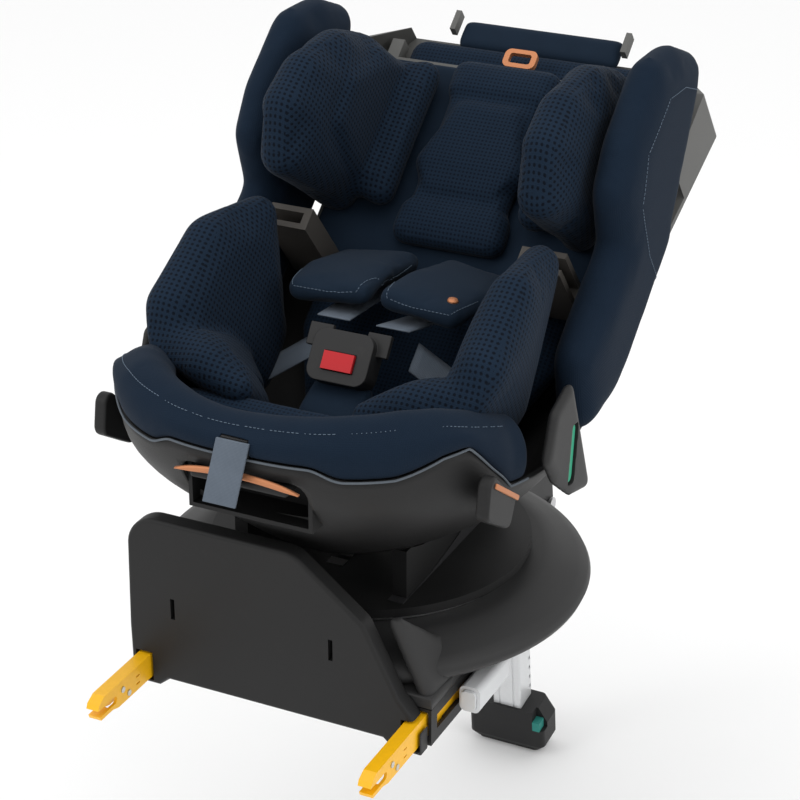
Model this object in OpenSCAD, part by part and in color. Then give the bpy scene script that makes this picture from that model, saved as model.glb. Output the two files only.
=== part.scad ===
// Convertible child car seat: belt-anchor base with load leg, turntable,
// reclining seat on curved rails, sliding headrest and five-point harness.
// X runs across the seat, +Y towards the load leg, +Z up. The origin is on the
// base's flat underside, on the turntable's axis.

/* [Base] */
// Half of the width of the lower tray
base_half_w = 152; // [150:1:156]
// Height of the lower tray
tray_h = 38; // [36:1:40]
// Thickness of the moulded plastic walls
wall = 4; // [3:0.5:4]
// Distance from the turntable's axis to the back of the rebound panel
panel_y = 185; // [185:1:190]
// Thickness of the rebound panel
panel_t = 20; // [14:1:24]
// Height of the rebound panel
panel_h = 180; // [170:1:181]
// Radius of the dish around the turntable
dish_r = 216; // [206:1:220]
// Height of the dish's upper face
dish_z = 84; // [80:1:84]

/* [Anchor arms] */
// Distance between the two anchor arms, centre to centre
arm_pitch = 280; // [280:1:280]
// Thickness of one arm
arm_t = 13; // [12:0.5:14]
// Height of one arm
arm_h = 25; // [24:1:26]
// How far the arms stand out of the rebound panel
arm_out = 92; // [86:1:100]
// Travel of the arms into the base
arm_travel = 80; // [60:1:84]

/* [Load leg] */
// Tilt of the leg away from the base
leg_tilt = 7; // [4:1:10]
// Width of the leg's upper housing
leg_w = 80; // [76:1:84]
// Depth of the leg's upper housing
leg_d = 42; // [40:1:42]
// Length of the upper housing below its hinge
leg_len = 190; // [180:1:196]
// Width of the sliding inner profile
tube_w = 36; // [34:1:38]
// Depth of the sliding inner profile
tube_d = 34; // [32:1:34]
// Distance from the hinge to the sole
leg_reach = 352; // [340:1:360]

/* [Seat] */
// Height of the recline centre above the underside
recline_z = 606; // [604:1:610]
// Distance of the recline centre in front of the turntable's axis
recline_y = 100; // [96:1:104]
// Radius of the rails' running face
rail_r = 505; // [504:0.5:506]
// Tilt of the seat pan at the most reclined position
pan_tilt = 35; // [33:1:36]
// Rise of the backrest above the horizontal at that position
back_rise = 40; // [38:1:42]
// Half of the width of the seat
seat_half_w = 205; // [203:1:206]
// Distance from the seat's bight to the top of the backrest
back_len = 488; // [470:1:495]

/* [Hidden] */
$fn = 64;
soft_fn = 20;         // facets round a cushion's corners
gap = 0.5;            // clearance between neighbouring pieces
bight_y = 30;         // where the pan and the backrest meet
bight_z = 170;
arm_x = arm_pitch / 2;
arm_z = 7;            // underside of the anchor arms
arm_tip = -(panel_y + panel_t + arm_out);
leg_y = 338;          // leg hinge
leg_z = -24;
pin_r = 5;
head_w = 158;         // half width of the headrest

// ---------- placement ----------

// Seat pan: -y runs towards the front lip, +z is square to the pan
module on_pan() {
    translate([0, bight_y, bight_z]) rotate([-pan_tilt, 0, 0]) children();
}

// Backrest: +z runs up the backrest, -y is towards the child
module on_back() {
    translate([0, bight_y, bight_z]) rotate([back_rise - 90, 0, 0]) children();
}

// Load leg: -z runs down the leg from its hinge
module on_leg() {
    translate([0, leg_y, leg_z]) rotate([leg_tilt, 0, 0]) children();
}

// A side-view outline (y, z) made solid between two x values
module across(x0, x1) {
    translate([x0, 0, 0]) rotate([90, 0, 90]) linear_extrude(height = x1 - x0)
        children();
}

// A front-view outline (x, z) made solid between two y values
module along(y0, y1) {
    translate([0, y1, 0]) rotate([90, 0, 0]) linear_extrude(height = y1 - y0)
        children();
}

module both_sides() {
    children();
    mirror([1, 0, 0]) children();
}

// Rectangle with round corners, exact
module round_rect(w, h, r) {
    union() {
        square([w - 2 * r, h], center = true);
        square([w, h - 2 * r], center = true);
        for (sx = [-1, 1], sy = [-1, 1])
            translate([sx * (w / 2 - r), sy * (h / 2 - r)]) circle(r);
    }
}

// Outline through round corners, each given as [x, y, radius]
module soft_outline(corners) {
    hull() for (c = corners) translate([c[0], c[1]]) circle(c[2], $fn = 24);
}

// Cushion between round corners, each given as [x, y, z, radius]
module cushion(corners) {
    hull() for (c = corners)
        translate([c[0], c[1], c[2]]) sphere(c[3], $fn = soft_fn);
}

// ---------- base ----------

module tray_plan(half_w, front, back) {
    union() {
        translate([-half_w, -front]) square([2 * half_w, front + back - 60]);
        translate([-half_w + 60, -front]) square([2 * half_w - 120, front + back]);
        for (s = [-1, 1]) translate([s * (half_w - 60), back - 60]) circle(60);
    }
}

module base_tray() {
    inner = base_half_w - 3;
    color([0.17, 0.17, 0.17]) difference() {
        union() {
            linear_extrude(height = tray_h) tray_plan(base_half_w, panel_y - gap, 170);
            translate([-58, 100, 0]) cube([116, 176, tray_h]);
        }
        translate([0, 0, wall]) linear_extrude(height = tray_h)
            tray_plan(inner, panel_y - wall - gap, 110);
        translate([-50, 122, wall]) cube([100, 148, tray_h]);
        for (s = [-1, 1]) {
            translate([s * arm_x - 9, -panel_y - 1, wall]) cube([18, 30, 31]);
            translate([s * base_half_w - 10, -172, 12]) cube([20, 222, 15]);
        }
    }
}

module dish_outline() {
    polygon([[22, 78], [160, 78], [172, 70], [204, 60], [206, 54], [150, 44],
             [150, 38.5], [170, 38.5], [206, 48], [dish_r, 62], [dish_r - 3, 68],
             [176, 79], [166, dish_z], [22, dish_z]]);
}

// Side of the base: sweeps down from the rebound panel to the dish
module cheek(high) {
    difference() {
        across(118, base_half_w) polygon([
            [-panel_y + gap, tray_h + gap], [40, tray_h + gap], [40, 56],
            [-30, 62], [-80, 74], [-120, 92], [-150, high * 0.72],
            [-panel_y + gap, high]]);
        translate([0, 0, 30]) cylinder(r = 190, h = 200);
        translate([100, -panel_y + wall, 0]) cube([base_half_w - 103, 260, 52]);
    }
}

module base_cover() {
    color([0.24, 0.24, 0.24]) union() {
        difference() {
            rotate_extrude($fn = 96) dish_outline();
            translate([-dish_r, -dish_r - panel_y + gap, 0]) cube([2 * dish_r, dish_r, 99]);
        }
        difference() {
            translate([0, 0, tray_h + gap]) linear_extrude(height = 12)
                tray_plan(base_half_w, panel_y - gap, 170);
            translate([0, 0, tray_h]) linear_extrude(height = 8)
                tray_plan(base_half_w - 4, panel_y - gap - 4, 166);
            translate([0, 0, tray_h - 1]) cylinder(r = 150, h = 20);
        }
        difference() {
            cheek(150);
            translate([0, 0, 20]) cylinder(r = 172, h = 60);
        }
        difference() {
            mirror([1, 0, 0]) cheek(170);
            translate([0, 0, 20]) cylinder(r = 172, h = 60);
        }
        translate([-58, 168, tray_h + gap]) cube([116, 108, 12]);
    }
}

module rebound_panel() {
    color([0.18, 0.18, 0.18]) difference() {
        along(-panel_y - panel_t, -panel_y) difference() {
            union() {
                hull() {
                    translate([-121, panel_h - 32]) circle(32);
                    translate([-154, 40]) square([10, 60]);
                    translate([12, panel_h - 30]) circle(30);
                    translate([74, 108]) circle(24);
                    translate([90, 40]) square([44, 4]);
                }
                polygon([[-156, 60], [-154, 0], [-124, 0], [-112, 10], [100, 10],
                         [112, 0], [150, 0], [150, 20], [132, 60]]);
            }
            for (s = [-1, 1]) translate([s * arm_x - 9, wall]) square([18, 31]);
        }
        // two narrow vertical slots in the face
        for (x = [-106, 60]) translate([x - 2, -panel_y - panel_t - 1, 78])
            cube([4, 8, 22]);
    }
}

module slew_ring() {
    color([0.55, 0.56, 0.58]) rotate_extrude() polygon([
        [118, dish_z + 0.3], [150, dish_z + 0.3], [150, 88], [140, 90.5],
        [128, 90.5], [118, 88]]);
}

module swivel_spindle() {
    color([0.62, 0.63, 0.65]) difference() {
        union() {
            translate([0, 0, 62]) cylinder(r = 20, h = 38);
            translate([0, 0, dish_z + 0.3]) cylinder(r = 34, h = 5);
        }
        translate([0, 0, 60]) cylinder(r = 12, h = 45);
    }
}

module leg_bracket() {
    color([0.15, 0.15, 0.15]) difference() {
        union() {
            translate([-54, 277, 2]) cube([108, 26, 36]);
            for (s = [-1, 1]) across(s * 48 - 5, s * 48 + 5) union() {
                polygon([[277.5, 2], [300, 37], [345, 10], [350, -20], [330, -38],
                         [312, -20], [300, 2]]);
            }
        }
        translate([-60, leg_y, leg_z]) rotate([0, 90, 0])
            cylinder(r = pin_r + 0.04, h = 120);
    }
}

module leg_hinge_pin() {
    color([0.7, 0.7, 0.72]) union() {
        translate([-56, leg_y, leg_z]) rotate([0, 90, 0]) cylinder(r = pin_r, h = 112);
        for (x = [-58, 55]) translate([x, leg_y, leg_z]) rotate([0, 90, 0])
            cylinder(r = 8.5, h = 3);
    }
}

// Slotted nylon blocks that the arms run in
module arm_guides() {
    color([0.3, 0.3, 0.3]) both_sides() difference() {
        translate([arm_x - 12.5, -150, wall + 0.2]) cube([21, 30, 32]);
        translate([arm_x - arm_t / 2 - gap, -160, arm_z - gap])
            cube([arm_t + 2 * gap, 60, arm_h + 2 * gap]);
        translate([arm_x, -160, 11.5]) cube([30, 60, 16]);
    }
}

// ---------- anchor arms ----------

module arm_side() {
    difference() {
        polygon([[arm_tip + 12, arm_z + arm_h], [-30, arm_z + arm_h], [-30, arm_z],
                 [arm_tip + 34, arm_z], [arm_tip + 24, arm_z + 3],
                 [arm_tip + 4, arm_z + 3], [arm_tip + 2, arm_z + 8],
                 [arm_tip, arm_z + 15], [arm_tip + 2, arm_z + 20]]);
        // mouth for the vehicle's anchor bar
        translate([arm_tip - 6, arm_z + 7]) square([34, 8]);
        translate([arm_tip + 28, arm_z + 11]) circle(4);
    }
}

module anchor_arm() {
    inside = arm_t - 6;
    color([0.96, 0.72, 0.02]) difference() {
        across(arm_x - arm_t / 2, arm_x + arm_t / 2) arm_side();
        // folded channel, open underneath
        translate([arm_x - inside / 2, arm_tip + 20, arm_z - 1])
            cube([inside, arm_out + panel_t + 160, arm_h - 2.5]);
        for (p = [[66, 13], [66, 5]])
            translate([arm_x - 10, arm_tip + p[0], arm_z + p[1] + 1])
                cube([20, 6, 1.6]);
        for (p = [[42, 15], [52, 6]])
            translate([arm_x - 10, arm_tip + p[0], arm_z + p[1]]) rotate([0, 90, 0])
                cylinder(r = 2.3, h = 20);
    }
}

module anchor_arm_left() { mirror([1, 0, 0]) anchor_arm(); }
module anchor_arm_right() { anchor_arm(); }

module arm_rivets() {
    color([0.8, 0.8, 0.8]) for (s = [-1, 1], p = [[42, 15], [52, 6]]) {
        translate([s * arm_x - 7.3, arm_tip + p[0], arm_z + p[1]]) rotate([0, 90, 0])
            cylinder(r = 2.2, h = 14.6);
        for (e = [-7.6, 6.6])
            translate([s * arm_x + e, arm_tip + p[0], arm_z + p[1]]) rotate([0, 90, 0])
                cylinder(r = 3, h = 1);
    }
}

// Hook that closes round the anchor bar, pivoting on the upper rivet
module anchor_hook() {
    color([0.35, 0.3, 0.28])
        across(arm_x - 3, arm_x + 3) translate([arm_tip, arm_z]) difference() {
            polygon([[30, 15], [36, 10.5], [46, 10], [62, 9], [62, 14],
                     [46, 20], [34, 20.5], [30, 19]]);
            translate([42, 15]) circle(2.25);
        }
}

module anchor_hook_left() { mirror([1, 0, 0]) anchor_hook(); }
module anchor_hook_right() { anchor_hook(); }

module arm_cross_tube() {
    color([0.6, 0.6, 0.62]) translate([-arm_x + arm_t / 2 + 0.2, -52, arm_z + 12])
        rotate([0, 90, 0]) difference() {
            cylinder(r = 9, h = arm_pitch - arm_t - 0.4);
            translate([0, 0, -1]) cylinder(r = 7, h = arm_pitch);
        }
}

// Grip outside the base, with a stem through the side slot to the arm
module arm_grip() {
    color([0.83, 0.83, 0.84]) difference() {
        union() {
            along(-126, -58) translate([164, 19.5]) round_rect(21, 27, 6);
            translate([arm_x + arm_t / 2 + 0.2, -110, 13]) cube([14, 44, 13]);
        }
        along(-127, -111) translate([164, 19.5]) round_rect(14.6, 20.6, 4.3);
    }
}

module grip_button() {
    color([0.87, 0.87, 0.88]) along(-130, -116) translate([164, 19.5])
        round_rect(14, 20, 4);
}

module arm_grip_left() { mirror([1, 0, 0]) arm_grip(); }
module arm_grip_right() { arm_grip(); }
module grip_button_left() { mirror([1, 0, 0]) grip_button(); }
module grip_button_right() { grip_button(); }

// ---------- load leg ----------

module leg_upper_housing() {
    color([0.16, 0.16, 0.16]) on_leg() difference() {
        union() {
            translate([0, 0, -leg_len]) linear_extrude(height = leg_len - 8)
                round_rect(leg_w, leg_d, 7);
            rotate([0, 90, 0]) translate([0, 0, -leg_w / 2])
                cylinder(r = leg_d / 2, h = leg_w);
        }
        translate([0, 0, -leg_len - 1]) linear_extrude(height = leg_len - 15)
            square([tube_w + 2, tube_d + 2], center = true);
        translate([-60, 0, 0]) rotate([0, 90, 0]) cylinder(r = pin_r + 0.06, h = 120);
        // seat of the height button
        translate([-14.4, -leg_d / 2 - 1, -174]) cube([28.8, 3.5, 20.8]);
    }
}

module leg_adjust_button() {
    color([0.75, 0.76, 0.78]) on_leg()
        translate([0, -leg_d / 2 + 0.2, -163.6]) rotate([90, 0, 0])
            linear_extrude(height = 4) round_rect(28, 20, 4);
}

module leg_inner_profile() {
    color([0.81, 0.81, 0.81]) on_leg() difference() {
        translate([0, 0, -leg_reach + 56]) linear_extrude(height = 186) difference() {
            round_rect(tube_w, tube_d, 3);
            square([tube_w - 6, tube_d - 6], center = true);
            for (s = [-1, 1]) translate([s * 9, -tube_d / 2]) circle(1.2);
        }
        // adjustment notches down both edges
        for (i = [0:7], s = [-1, 1])
            translate([s * tube_w / 2 - 4, tube_d / 2 - 7, -leg_reach + 70 + i * 14])
                cube([8, 4, 5]);
    }
}

module leg_foot() {
    color([0.17, 0.17, 0.17]) on_leg() difference() {
        hull() {
            translate([0, 0, -leg_reach + 10]) linear_extrude(height = 30)
                round_rect(96, 44, 7);
            translate([0, 0, -leg_reach + 4]) linear_extrude(height = 3)
                round_rect(86, 38, 7);
            translate([0, 0, -leg_reach + 56]) linear_extrude(height = 3)
                round_rect(74, 42, 7);
        }
        translate([0, 0, -leg_reach + 55.5]) linear_extrude(height = 5)
            square([tube_w + 0.6, tube_d + 0.6], center = true);
        translate([34, -24, -leg_reach + 34]) cube([20, 16, 40]);
    }
}

module foot_sole() {
    color([0.08, 0.08, 0.08]) on_leg() translate([0, 0, -leg_reach])
        linear_extrude(height = 3.8) round_rect(80, 34, 8);
}

module foot_indicator() {
    color([0.16, 0.4, 0.36]) on_leg() translate([34.4, -22.5, -leg_reach + 34.4])
        cube([9, 14, 12]);
}

// ---------- turntable and recline rails ----------

module turntable() {
    color([0.1, 0.1, 0.1]) difference() {
        translate([0, 0, 91]) cylinder(r = 158, h = 9);
        translate([0, 0, 80]) cylinder(r = 20.05, h = 40);
        translate([0, 0, 80]) cylinder(r = 36, h = 15);
    }
}

// Cylinder about the recline axis between two x values
module recline_arc(x0, x1, r) {
    translate([x0, -recline_y, recline_z]) rotate([0, 90, 0])
        cylinder(r = r, h = x1 - x0, $fn = 180);
}

// Two curved rails that the seat slides on as it reclines
module recline_rails() {
    color([0.25, 0.25, 0.26]) both_sides() difference() {
        translate([76, -120, 100.3]) cube([16, 240, 48]);
        recline_arc(70, 100, rail_r);
    }
}

// Notched bar between the rails that the pawl locks into
module recline_rack() {
    color([0.45, 0.45, 0.47]) difference() {
        translate([-9, -80, 100.3]) cube([18, 170, 38]);
        recline_arc(-12, 12, rail_r + 1);
        for (a = [4:3:19]) translate([0, -recline_y, recline_z]) rotate([a, 0, 0])
            translate([-12, -4, -rail_r - 7]) cube([24, 8, 10]);
    }
}

// Nylon shoes under the shell that run on the rails
module recline_shoes() {
    color([0.22, 0.22, 0.22]) difference() {
        intersection() {
            recline_arc(-91, 91, rail_r - 0.4);
            both_sides() translate([77, -110, 100.5]) cube([14, 150, 50]);
        }
        shell_form(-0.6);
    }
}

module recline_pawl() {
    color([0.6, 0.6, 0.62]) union() {
        translate([-6, -6, 113]) cube([12, 12, 22]);
        translate([-16, -10, 134]) cube([32, 20, 4]);
    }
}

// ---------- seat shell ----------

// One level of the shell: a plan outline with round corners
module level(z, half_w, front, back, r) {
    translate([0, (back - front) / 2, z]) linear_extrude(height = 1)
        round_rect(2 * half_w, front + back, r);
}

// Round lower part of the shell, centred y in front of the axis
module drum(z, y, r) {
    translate([0, -y, z]) cylinder(r = r, h = 1, $fn = 48);
}

// Solid form of the shell, shrunk by t for its inside. The drum turns inside
// the rebound panel; the wide upper part clears the panel's top edge.
module shell_form(t) {
    union() {
        hull() {
            drum(124 + t, 40, 66 - t / 2);
            drum(143 + t, 20, 108 - t);
            drum(163 + t, 10, 146 - t);
            drum(186 + t, 0, 176 - t);
            drum(206, 0, 178 - t);
        }
        hull() {
            level(197 + t, 186 - t, 202 - t, 205 - t, 88 - t, $fn = 48);
            level(236, 202 - t, 238 - t, 230 - t, 105 - t, $fn = 48);
            level(280, seat_half_w - t, 258 - t, 262 - t, 120 - t, $fn = 48);
            level(310, seat_half_w - t, 262 - t, 280 - t, 120 - t, $fn = 48);
        }
    }
}

// Space above the shell's rim, which falls behind the front corners
module above_rim() {
    across(-230, 230) polygon([
        [-300, 284], [-215, 284], [-170, 296], [-104, 236], [30, 226],
        [110, 250], [150, 300], [300, 460], [-300, 460]]);
}

module seat_shell() {
    color([0.19, 0.19, 0.19]) difference() {
        shell_form(0);
        shell_form(5);
        above_rim();
        on_back() translate([-300, -400, 203]) cube([600, 800, 600]);
        // mouth of the front pocket
        translate([-64, -280, 222]) cube([128, 60, 66]);
        // way through for the recline pawl
        translate([-8, -8, 110]) cube([16, 16, 30]);
        both_sides() {
            across(160, 230) on_back_outline() wing_outline(1.5);
            on_pan() across(180, 230) lever_outline(3);
        }
    }
}

module seat_pan() {
    color([0.25, 0.25, 0.25]) on_pan() translate([0, 0, -46]) difference() {
        linear_extrude(height = 10) polygon([
            [-150, -232], [150, -232], [150, -130], [76, -24], [-76, -24],
            [-150, -130]]);
        // slot of the crotch strap
        translate([-35, -170, -1]) cube([70, 8, 20]);
    }
}

module front_pocket() {
    color([0.1, 0.1, 0.1]) difference() {
        translate([-62, -238, 226]) cube([124, 44, 57]);
        translate([-58, -246, 230]) cube([116, 46, 50]);
    }
}

module recline_handle() {
    color([0.82, 0.56, 0.38]) union() {
        translate([0, -252, 274]) linear_extrude(height = 7) round_rect(122, 22, 10);
        translate([-48, -245, 262]) cube([96, 35, 14]);
    }
}

module lever_outline(grow) {
    soft_outline([[-214, -31, 10 + grow], [-162, -37, 9 + grow],
                  [-160, -50, 9 + grow], [-204, -50, 11 + grow]]);
}

// Lever in the recess at the side, with a bright front edge
module swivel_lever() {
    color([0.2, 0.2, 0.2]) on_pan() across(188, 201) lever_outline(0);
}

module swivel_lever_left() { mirror([1, 0, 0]) swivel_lever(); }
module swivel_lever_right() { swivel_lever(); }

// Side bracket that guides the vehicle's lap belt
module belt_bracket() {
    color([0.3, 0.3, 0.3]) difference() {
        on_pan() difference() {
            across(seat_half_w + 0.6, seat_half_w + 12) soft_outline([
                [-120, 76, 10], [-142, 50, 8], [-132, 4, 12], [-96, -8, 12],
                [-34, -14, 14], [-12, 8, 8]]);
            // oval seat of the coloured insert
            translate([200, -78, 28]) rotate([28, 0, 0]) translate([0, -8, -30])
                cube([40, 16, 60]);
        }
        // underside clears the rebound panel as the seat turns
        translate([150, -200, 100]) cube([100, 400, 83]);
    }
}

module belt_bracket_left() { mirror([1, 0, 0]) belt_bracket(); }
module belt_bracket_right() { belt_bracket(); }

module belt_guides_green() {
    color([0.25, 0.64, 0.49]) both_sides() on_pan()
        translate([seat_half_w + 1, -78, 28]) rotate([28, 0, 0]) across(0, 8) union() {
            translate([-6, -22]) square([12, 44]);
            for (z = [-22, 22]) translate([0, z]) circle(6);
        }
}

// Shell of the backrest, its rim turned forward round both sides
module back_shell() {
    color([0.4, 0.4, 0.4]) on_back() difference() {
        hull() {
            translate([-150, 30, 205]) cube([300, 22, 2]);
            translate([-176, 17, 205]) cube([352, 26, 2]);
            translate([-188, 5, 290]) cube([376, 40, 2]);
            translate([-206, -38, 430]) cube([412, 78, 2]);
            translate([-150, 0, back_len - 4]) cube([300, 26, 2]);
        }
        hull() {
            translate([-196, -40, 200]) cube([392, 82, 2]);
            translate([-196, -60, 432]) cube([392, 92, 2]);
            translate([-142, -60, back_len + 4]) cube([284, 78, 2]);
        }
    }
}

// Rails behind the back cushion that the headrest hangs from
module back_brackets() {
    color([0.42, 0.41, 0.4]) on_back() both_sides() {
        translate([148, -6, 372]) cube([14, 16, 94]);
        translate([94, -12, back_len - 4]) cube([6, 11.9, 24]);
    }
}

// ---------- seat covers and cushions ----------

// Padded cover: a thick apron round the front and both sides of the seat
module seat_cover() {
    color([0.14, 0.18, 0.24]) difference() {
        hull() {
            level(250, seat_half_w - 3, 254, 0, 118, $fn = 48);
            level(300, seat_half_w, 264, 0, 120, $fn = 48);
            level(328, seat_half_w - 8, 254, 0, 114, $fn = 48);
            level(341, seat_half_w - 38, 232, 0, 96, $fn = 48);
        }
        // the front edge dips towards its middle
        along(-300, -150) translate([0, 1236]) circle(900, $fn = 200);
        // top falls towards the back
        across(-230, 230) polygon([
            [-226, 350], [-60, 288], [20, 288], [20, 400], [-226, 400]]);
        across(-230, 230) translate([-78, 200]) square([200, 200]);
        // the seat's hollow
        on_pan() translate([-159, -236, -35]) cube([318, 300, 281]);
        below_rim();
        // slit for the adjuster
        translate([-18, -280, 296]) cube([36, 38, 26]);
    }
}

// Everything under the rim, with clearance
module below_rim() {
    across(-230, 230) polygon([
        [-300, 284.6], [-214.8, 284.6], [-169.8, 296.8], [-103, 236.8],
        [0, 229], [0, 100], [-300, 100]]);
}

module seat_cushion() {
    color([0.13, 0.17, 0.22]) on_pan() cushion([
        [-84, -34, -18, 15], [84, -34, -18, 15], [-128, -130, -18, 15],
        [128, -130, -18, 15], [-128, -214, -18, 15], [128, -214, -18, 15]]);
}

module back_cushion() {
    color([0.13, 0.17, 0.22]) on_back() cushion([
        [-92, 8, 40, 16], [92, 8, 40, 16], [-126, 8, 120, 16], [126, 8, 120, 16],
        [-126, 3, back_len - 22, 16], [126, 3, back_len - 22, 16]]);
}

// Side view of the wing: deep beside the head, shallow beside the body
module wing_outline(grow) {
    union() {
        soft_outline([
            [-160, 292, 26 + grow], [-158, 366, 26 + grow], [-128, 402, 24 + grow],
            [-86, 426, 22 + grow], [-25, 272, 22 + grow], [-104, 226, 20 + grow],
            [-148, 250, 24 + grow]]);
        soft_outline([
            [-40, 300, 20 + grow], [-18, 272, 20 + grow], [-18, 110, 20 + grow],
            [-42, 68, 22 + grow], [-90, 92, 24 + grow], [-88, 230, 22 + grow]]);
    }
}

// Turns a backrest side view (y, z) into the base's side view
module on_back_outline() {
    translate([bight_y, bight_z]) rotate(back_rise - 90) children();
}

module side_wing() {
    color([0.12, 0.16, 0.21]) on_back() across(171, seat_half_w + 7) wing_outline(0);
}

module side_wing_left() { mirror([1, 0, 0]) side_wing(); }
module side_wing_right() { side_wing(); }

// Inlay bolster beside the child's hip
module hip_bolster() {
    color([0.15, 0.2, 0.26]) on_pan() cushion([
        [142, -110, 60, 24], [158, -206, 76, 24], [156, -176, 150, 22],
        [146, -104, 194, 20], [96, -120, 32, 22], [92, -196, 34, 22]]);
}

module hip_bolster_left() { mirror([1, 0, 0]) hip_bolster(); }
module hip_bolster_right() { hip_bolster(); }

// ---------- headrest ----------

module headrest_shell() {
    color([0.22, 0.22, 0.22]) on_back() translate([-head_w, -22, 172])
        cube([2 * head_w, 8, 262]);
}

module head_cushion() {
    color([0.13, 0.17, 0.22]) on_back() cushion([
        [-43, -41, 222, 17], [43, -41, 222, 17],
        [-46, -43, 306, 17.5], [46, -43, 306, 17.5],
        [-41, -41, 410, 17], [41, -41, 410, 17]]);
}

// A deep outer roll, a slimmer one inside it and a cheek pad beside the
// pillow, which leave 200 mm between the two sides for the head
module head_wing() {
    color([0.14, 0.19, 0.25]) on_back() union() {
        cushion([
            [132, -46, 250, 22], [132, -46, 392, 22], [135, -172, 216, 23],
            [135, -204, 252, 23], [135, -198, 294, 23], [135, -162, 346, 23],
            [135, -106, 380, 23]]);
        cushion([
            [118, -60, 256, 16], [118, -60, 398, 16], [118, -148, 276, 16],
            [118, -152, 316, 16], [118, -112, 376, 16]]);
        cushion([
            [85, -54, 257, 20], [85, -54, 397, 20],
            [114, -52, 259, 18], [114, -52, 395, 18]]);
    }
}

module head_wing_left() { mirror([1, 0, 0]) head_wing(); }
module head_wing_right() { head_wing(); }

module headrest_handle() {
    color([0.86, 0.62, 0.45]) on_back() translate([0, -27, 446]) rotate([90, 0, 0])
        linear_extrude(height = 6) difference() {
            round_rect(36, 22, 7);
            round_rect(24, 12, 3);
        }
}

// Guides for the vehicle's shoulder belt, low on the headrest
module headrest_guides() {
    color([0.32, 0.3, 0.28]) on_back() both_sides()
        translate([112, -118, 166]) difference() {
            cube([46, 95, 24]);
            translate([8, -1, 6]) cube([40, 60, 12]);
        }
}

module shoulder_pads() {
    color([0.15, 0.2, 0.26]) on_back() both_sides() cushion([
        [26, -56, 180, 14], [84, -60, 168, 14],
        [20, -142, 100, 14], [80, -140, 94, 14]]);
}

// ---------- harness ----------

module harness_webbing() {
    color([0.56, 0.62, 0.69]) on_back() both_sides() {
        hull() {
            translate([36, -26, 168]) cube([34, 1.5, 1]);
            translate([14, -150, 66]) cube([34, 1.5, 1]);
        }
        // lap strap from the side of the shell to the tongue
        hull() {
            translate([48, -120, 40]) cube([1, 1.5, 30]);
            translate([116, -70, 20]) cube([1, 1.5, 30]);
        }
    }
}

module buckle_body() {
    color([0.37, 0.36, 0.34]) on_pan() difference() {
        union() {
            translate([0, -132, 62]) rotate([90, 0, 0]) linear_extrude(height = 26)
                round_rect(62, 50, 12);
            for (s = [-1, 1]) translate([s * 30 - 12, -149, 70]) cube([24, 6, 22]);
        }
        translate([-16, -160, 48]) cube([32, 10, 18]);
    }
}

module buckle_button() {
    color([0.85, 0.1, 0.14]) on_pan() translate([-15.6, -161, 48.4]) cube([31.2, 6, 17.2]);
}

module crotch_pad() {
    color([0.14, 0.18, 0.24]) on_pan() cushion([
        [-24, -146, 16, 13], [24, -146, 16, 13],
        [-22, -146, 22, 13], [22, -146, 22, 13]]);
}

module adjuster_strap() {
    color([0.5, 0.56, 0.64]) hull() {
        translate([-16, -265, 314]) cube([32, 2, 1]);
        translate([-24, -278, 258]) cube([32, 2, 1]);
    }
}

module adjuster_button() {
    color([0.4, 0.4, 0.4]) translate([-13, -262, 300]) cube([26, 14, 16]);
}

// ---------- drawing ----------

base_tray();
base_cover();
rebound_panel();
slew_ring();
swivel_spindle();
leg_bracket();
leg_hinge_pin();
arm_guides();
anchor_arm_left();
anchor_arm_right();
arm_cross_tube();
arm_rivets();
anchor_hook_left();
anchor_hook_right();
arm_grip_left();
arm_grip_right();
grip_button_left();
grip_button_right();
leg_upper_housing();
leg_inner_profile();
leg_foot();
foot_sole();
foot_indicator();
leg_adjust_button();
turntable();
recline_rails();
recline_rack();
recline_shoes();
recline_pawl();
seat_shell();
seat_pan();
front_pocket();
recline_handle();
swivel_lever_left();
swivel_lever_right();
belt_bracket_left();
belt_bracket_right();
belt_guides_green();
back_shell();
back_brackets();
seat_cover();
seat_cushion();
back_cushion();
side_wing_left();
side_wing_right();
hip_bolster_left();
hip_bolster_right();
headrest_shell();
head_cushion();
head_wing_left();
head_wing_right();
headrest_handle();
headrest_guides();
shoulder_pads();
harness_webbing();
buckle_body();
buckle_button();
crotch_pad();
adjuster_button();
adjuster_strap();
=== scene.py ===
import bpy, bmesh, math
from mathutils import Vector, Matrix
from mathutils.bvhtree import BVHTree


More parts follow.
